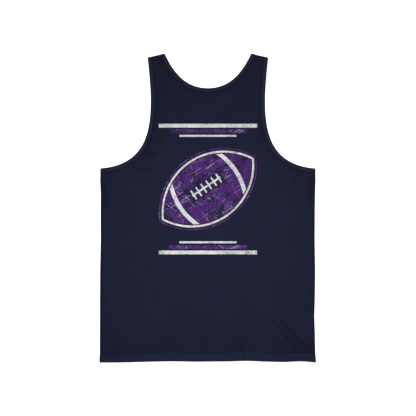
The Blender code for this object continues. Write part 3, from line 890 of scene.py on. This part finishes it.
# the print in mm: BALL is the middle of its ball, whose u runs along it and v across
BALL = (0.4, 44.0)
BALL_HALF = (122.0, 72.0)   # half length and half breadth
BALL_TILT = math.radians(34)
RIM = (3.4, 2.3)            # chalk line round the ball: way out from its edge, half width
OUTER_RIM = (10.8, 1.6)     # purple line round that
INK_IN = 1.4                # how far inside its edge the ball's ink ends
END_STRIPES = (77.0, 0.0035, 4.8)     # |u| where they cross the ball, bow, half width
GAP_LINE = (29.0, 0.0016, 1.1)        # bare line along the ball: v, bow, half width
LACE_V = 7.0                # laces: their v, the long one and the short ones across it
LACE_HALF = (39.0, 2.2)
CROSS_HALF = (38.0, 12.0)   # field of the short ones
CROSS_STEP, CROSS_WIDE = 7.0, 1.9     # half their pitch and half their width
BARE_HALF = (43.0, 15.5)    # thinner ink round the laces
# stripes above and below the ball: height from its middle, half length, half thickness, chalk
STRIPES = ((147.0, 114.0, 4.4, 1), (134.5, 90.0, 4.4, 0), (123.5, 66.0, 2.3, 1),
           (-123.5, 66.0, 2.3, 1), (-134.5, 90.0, 4.4, 0), (-147.0, 114.0, 4.4, 1))
# scratches: turn of each stroke
LONG_SCRATCHES = (0.50, 0.60)
SCRATCHES = (0.38, -0.9, -0.62, 1.15)


def printed(m, place, x, y):
    """The worn print: how far each ink covers, from plain distances to shapes in plan.

    Ball: the overlap of two discs, max of the distances from their middles less the
    radius.  Bars: the larger of |x| and |y| less the half sizes.
    """
    a, b = BALL_HALF
    radius = (a * a + b * b) / (2 * b)
    dx, dy = m.less(x, BALL[0]), m.less(y, BALL[1])
    cos, sin = math.cos(BALL_TILT), math.sin(BALL_TILT)
    u = m.times_plus(dy, sin, m.times(dx, cos))
    v = m.times_plus(dx, -sin, m.times(dy, cos))
    far = []
    for s in (1, -1):
        w = m.math("ADD", v, s * (radius - b))
        far.append(m.math("SQRT", m.times_plus(w, w, m.times(u, u))))
    ball = m.less(m.most(*far), radius)

    def inside(d):
        """1 where a distance is less than 0, with an edge of half a millimetre."""
        return m.ramp(d, 0.25, -0.25)

    def beyond(p, half):
        return m.less(m.math("ABSOLUTE", p), half)

    def bar(p, q, half_p, half_q):
        return inside(m.most(beyond(p, half_p), beyond(q, half_q)))

    def line(d, at, half):
        return inside(beyond(m.less(d, at), half))

    # chalk: rim, end stripes, laces
    rim = line(ball, *RIM)
    body = inside(m.math("ADD", ball, INK_IN))
    at, bow, half = END_STRIPES
    ends = beyond(u, at)
    ends = m.times(line(m.times_plus(m.times(v, v), bow, ends), 0.0, half), body)
    at, bow, half = GAP_LINE
    bare = m.times(line(m.times_plus(m.times(u, u), bow, v), at, half), body)
    laced = m.less(v, LACE_V)
    lace = bar(u, laced, *LACE_HALF)
    step = m.math("PINGPONG", u, CROSS_STEP)
    cross = inside(m.less(m.less(CROSS_STEP, step), CROSS_WIDE))
    cross = m.times(bar(u, laced, *CROSS_HALF), cross)
    chalk = m.most(rim, ends, lace, cross)
    purple = m.most(m.times(body, m.less(1.0, bare)), line(ball, *OUTER_RIM))
    # thinner ink round the laces, so they stand off the ball
    thin = bar(u, laced, *BARE_HALF)
    for height, half, thick, light in STRIPES:
        stripe = bar(dx, m.less(dy, height), half, thick)
        if light:
            chalk = m.most(chalk, stripe)
        else:
            purple = m.most(purple, stripe)
    # wear: specks and rubbed patches where ink is gone, thin pale scratches in the purple
    patch = m.noise(place, 24.0, 3.0, 0.6)
    speck = m.noise(place, 620.0, 4.0, 0.72)
    worn = m.ramp(m.times_plus(patch, 0.30, speck), 0.715, 0.76)
    grain = m.noise(place, 190.0, 5.0, 0.75)
    worn = m.most(worn, m.ramp(m.times_plus(patch, 0.25, grain), 0.74, 0.78))
    rubbed = m.ramp(m.noise(place, 31.0, 2.0), 0.44, 0.58)
    scratched = m.most(*[m.ramp(m.brushed(place, turn, 0.10, 0.0019, 0.37 * k), 0.74, 0.765)
                         for k, turn in enumerate(LONG_SCRATCHES)])
    for k, turn in enumerate(SCRATCHES):
        stroke = m.brushed(place, turn, 0.075, 0.0018, 2.1 + 0.53 * k)
        scratched = m.most(scratched, m.ramp(stroke, 0.765, 0.79))
    scratched = m.times(scratched, rubbed)
    pale = m.ramp(m.times_plus(rubbed, 0.07, m.noise(place, 300.0, 3.0, 0.7)), 0.60, 0.74)
    lilac_on = m.times(m.most(scratched, m.times(pale, 0.3)), 0.95)
    fade = m.ramp(m.noise(place, 160.0, 4.0, 0.75), 0.38, 0.66, 1.0, 0.66)
    chalk_on = m.times(chalk, m.less(1.0, worn), fade)
    dark_patch = m.ramp(m.noise(place, 230.0, 4.0, 0.75), 0.42, 0.62, 1.0, 0.45)
    blot = m.times_plus(m.noise(place, 48.0, 1.0), 0.9, m.noise(place, 240.0, 4.0, 0.75))
    blot = m.ramp(blot, 1.01, 1.10, 1.0, 0.08)
    gone = m.times(thin, m.less(1.0, chalk))
    purple_on = m.times(purple, m.times_plus(worn, -0.8, 1.0), dark_patch, blot,
                        m.times_plus(gone, -0.8, 1.0))
    return purple_on, lilac_on, chalk_on


def jersey(name, with_print):
    m = Nodes(bpy.data.materials.new(name))
    place = m.add("TexCoord").outputs["Object"]
    x, y = in_mm(m, place)
    height = knit_height(m, x, y)
    tone = m.times_plus(m.mark("doubled"), 0.22, 1.0)
    # painted shade: the mark of painted shade darkens the navy by up to 34%
    tone = m.times_plus(m.mark("painted_shade"), -0.34, tone)
    colour = m.toned(NAVY, tone)
    if with_print:
        purple_on, lilac_on, chalk_on = (
            m.times(ink, m.mark("outside")) for ink in printed(m, place, x, y))
        ink = m.mix(lilac_on, PURPLE, LILAC)
        colour = m.mix(chalk_on, m.mix(purple_on, colour, ink), CHALK)
        cover = m.most(purple_on, chalk_on)
        height = m.times(height, m.times_plus(cover, -0.45, 1.0))
        height = m.times_plus(cover, 0.5, height)
    finish_cloth(m, colour, height, place)
    return m.owner


def strip_jersey(name):
    """The bands' folded strip: its knit columns run across the strip's length, and it has
    painted shade where it rolls away at the free edge."""
    m = Nodes(bpy.data.materials.new(name))
    u, v = in_mm(m, m.add("UVMap", uv_map="cloth").outputs[0])
    height = knit_height(m, v, u)
    # painted shade: up to 30% darker where the strip rolls away at its free edge
    rim = m.ramp(m.math("ABSOLUTE", v), 1.1, 2.9, 0.7, 1.0)
    colour = m.toned(NAVY_BAND, rim)
    finish_cloth(m, colour, height, m.add("TexCoord").outputs["Object"], rough=0.86)
    return m.owner


def thread(name):
    """Sewing thread: two twisted plies, a little shinier than the cloth."""
    m = Nodes(bpy.data.materials.new(name))
    place = m.add("TexCoord").outputs["Object"]
    wave = m.add("TexWave", Vector=place, Scale=900.0, Distortion=1.0, Detail=1.0)
    tone = m.ramp(m.noise(place, 300.0), 0.3, 0.7, 0.85, 1.15)
    colour = m.toned(NAVY_THREAD, tone)
    bump = m.add("Bump", Strength=0.4, Distance=0.00006, Height=wave.outputs[1])
    m.set(Base_Color=colour, Normal=bump.outputs[0],
          Roughness=m.ramp(wave.outputs[1], 0.0, 1.0, 0.62, 0.74))
    m.set(Specular_IOR_Level=0.3, Sheen_Weight=0.05)
    return m.owner


back_jersey, front_jersey = jersey("navy_jersey_printed", True), jersey("navy_jersey", False)
band_jersey, navy_thread = strip_jersey("navy_jersey_strip"), thread("navy_thread")

# -------------------- pieces
pieces = {}
for layer, spacing, material in (("back", 3.05, back_jersey), ("front", 4.2, front_jersey)):
    points, quads, marks = panel(layer, spacing)
    name = f"{layer}_panel_cloth"
    pieces[name] = mesh(name, points, quads, material, marks=marks)
for kind in ("neck", "armhole"):
    pts, quads, uv, rows = band(kind, 2.2)
    for hand, flip in ((("", 1),) if kind == "neck" else (("_right", 1), ("_left", -1))):
        name = f"{kind}_binding{hand}"
        turned = quads if flip == 1 else quads[:, ::-1]
        pieces[name + "_cloth"] = mesh(name + "_cloth", pts * (flip, 1, 1), turned, band_jersey, uv)
        pieces[name + "_stitches"] = sewn(
            name + "_stitches", [on_band(rows, w, flip) for w in BAND_STITCHES], navy_thread)
for layer, depth in (("front", SEAM_STITCHES[0]), ("back", SEAM_STITCHES[1])):
    rows = [on_hem(layer, y) for y in HEM_STITCHES]
    rows += [on_shoulder(depth, sign) for sign in (1, -1)]
    pieces[f"{layer}_panel_stitches"] = sewn(f"{layer}_panel_stitches", rows, navy_thread)

for name, piece in pieces.items():
    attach(piece, "root")
BAND_LENGTHS = {"neck_binding": 0.632, "armhole_binding_left": 0.668,
                "armhole_binding_right": 0.668}
for node in ("back_panel", "front_panel", *BAND_LENGTHS):
    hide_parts(node)

# -------------------- floor, light and camera, in metres
FLOOR, FLOOR_Z = 40.0, -0.0001      # half width, and just under the cloth
GLOW, SEEN_GLOW = 0.22, 0.93        # surroundings: on the cloth, and where the camera sees them
FIELD = 416 * 0.0023197             # width of the picture on the cloth
CAMERA_X, FACE_Z = 0.0006, 0.0035   # camera off the middle line; the cloth's upper face

floor = placed("floor", bpy.data.meshes.new("floor"))
corners = [(x * FLOOR, y * FLOOR, FLOOR_Z) for x, y in ((-1, -1), (1, -1), (1, 1), (-1, 1))]
floor.data.from_pydata(corners, [], [(0, 1, 2, 3)])
paper = Nodes(bpy.data.materials.new("pale_floor"))
paper.set(Base_Color=(0.95, 0.95, 0.95, 1.0), Roughness=0.9, Specular_IOR_Level=0.0,
          Emission_Color=(1.0, 1.0, 1.0, 1.0), Emission_Strength=0.72)
floor.data.materials.append(paper.owner)
floor.visible_diffuse = floor.visible_glossy = False     # its glow doesn't reach the cloth


def soft_light(name, place, aim, size, power, spread):
    """Round soft box with a grid, which keeps its light near the way it points."""
    data = bpy.data.lights.new(name, "AREA")
    data.shape, data.size, data.energy, data.spread = "DISK", size, power, spread
    lamp = placed(name, data)
    lamp.location = place
    way = np.subtract(place, aim)
    tilt, bearing = math.acos(way[2] / np.linalg.norm(way)), math.atan2(way[1], way[0])
    lamp.rotation_euler = (tilt, 0, bearing + pi / 2)


soft_light("key", (-0.15, 1.26, 0.95), (0.317, -0.335, 0.0), 0.9, 3.75, 0.72)
soft_light("overhead", (0.1, -0.25, 1.5), (-0.285, -0.125, 0.0), 0.8, 1.63, 0.794)
walls = Nodes(bpy.data.worlds.new("studio"), "Background")
seen = walls.add("LightPath").outputs["Is Camera Ray"]
walls.set(Color=(1.0, 1.0, 1.0, 1.0), Strength=walls.times_plus(seen, SEEN_GLOW - GLOW, GLOW))
bpy.context.scene.world = walls.owner
bpy.context.scene.view_settings.view_transform = "Standard"

lens = bpy.data.cameras.new("camera")
lens.lens, lens.sensor_width = 100.0, 36.0
camera = placed("camera", lens)
camera.location = (CAMERA_X, 0.0, FIELD * lens.lens / lens.sensor_width + FACE_Z)
lens.clip_start, lens.clip_end = 0.1, 120.0
bpy.context.scene.camera = camera
